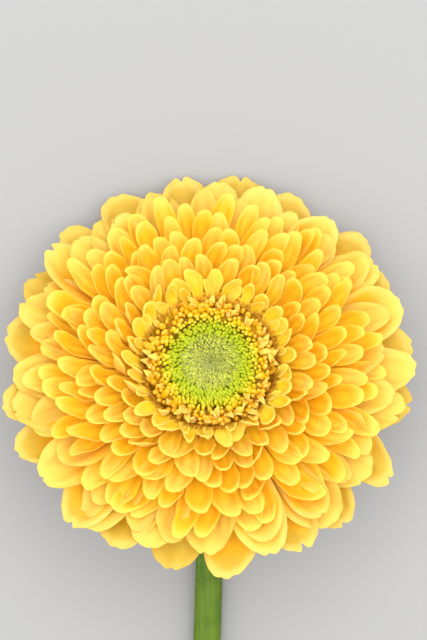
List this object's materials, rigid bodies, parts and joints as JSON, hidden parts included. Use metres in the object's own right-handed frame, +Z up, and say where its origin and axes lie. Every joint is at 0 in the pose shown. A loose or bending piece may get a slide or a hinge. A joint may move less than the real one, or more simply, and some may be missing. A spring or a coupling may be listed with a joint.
{
  "type": "cut gerbera",
  "caption": "Cut double gerbera lying down, with a dense golden yellow bloom that faces up, a green heart and a bare green stem.",
  "frame": {"origin": "on the surface that the flower lies on, under the stem, just before the neck lifts", "axes": "+Y along the stem from its cut end to the bloom, +Z up from the surface, +X to the right of the bloom seen from above"},
  "size_m": [0.1049, 0.3373, 0.0513],
  "materials": {
    "stem_green": "soft-haired matte green",
    "bract_green": "soft-haired matte green",
    "ray_yellow": "satin petal",
    "floret_gold": "satin petal",
    "floret_lemon": "satin petal",
    "bud_yellow": "satin bud",
    "heart_green": "matte bud"
  },
  "bodies": {
    "root": {"stem": "stem_green", "involucre": "bract_green", "ray_florets": "ray_yellow", "trans_florets": "floret_gold", "inner_florets": "floret_lemon", "disc_florets": "bud_yellow", "green_heart": "heart_green"}
  },
  "joints": []
}
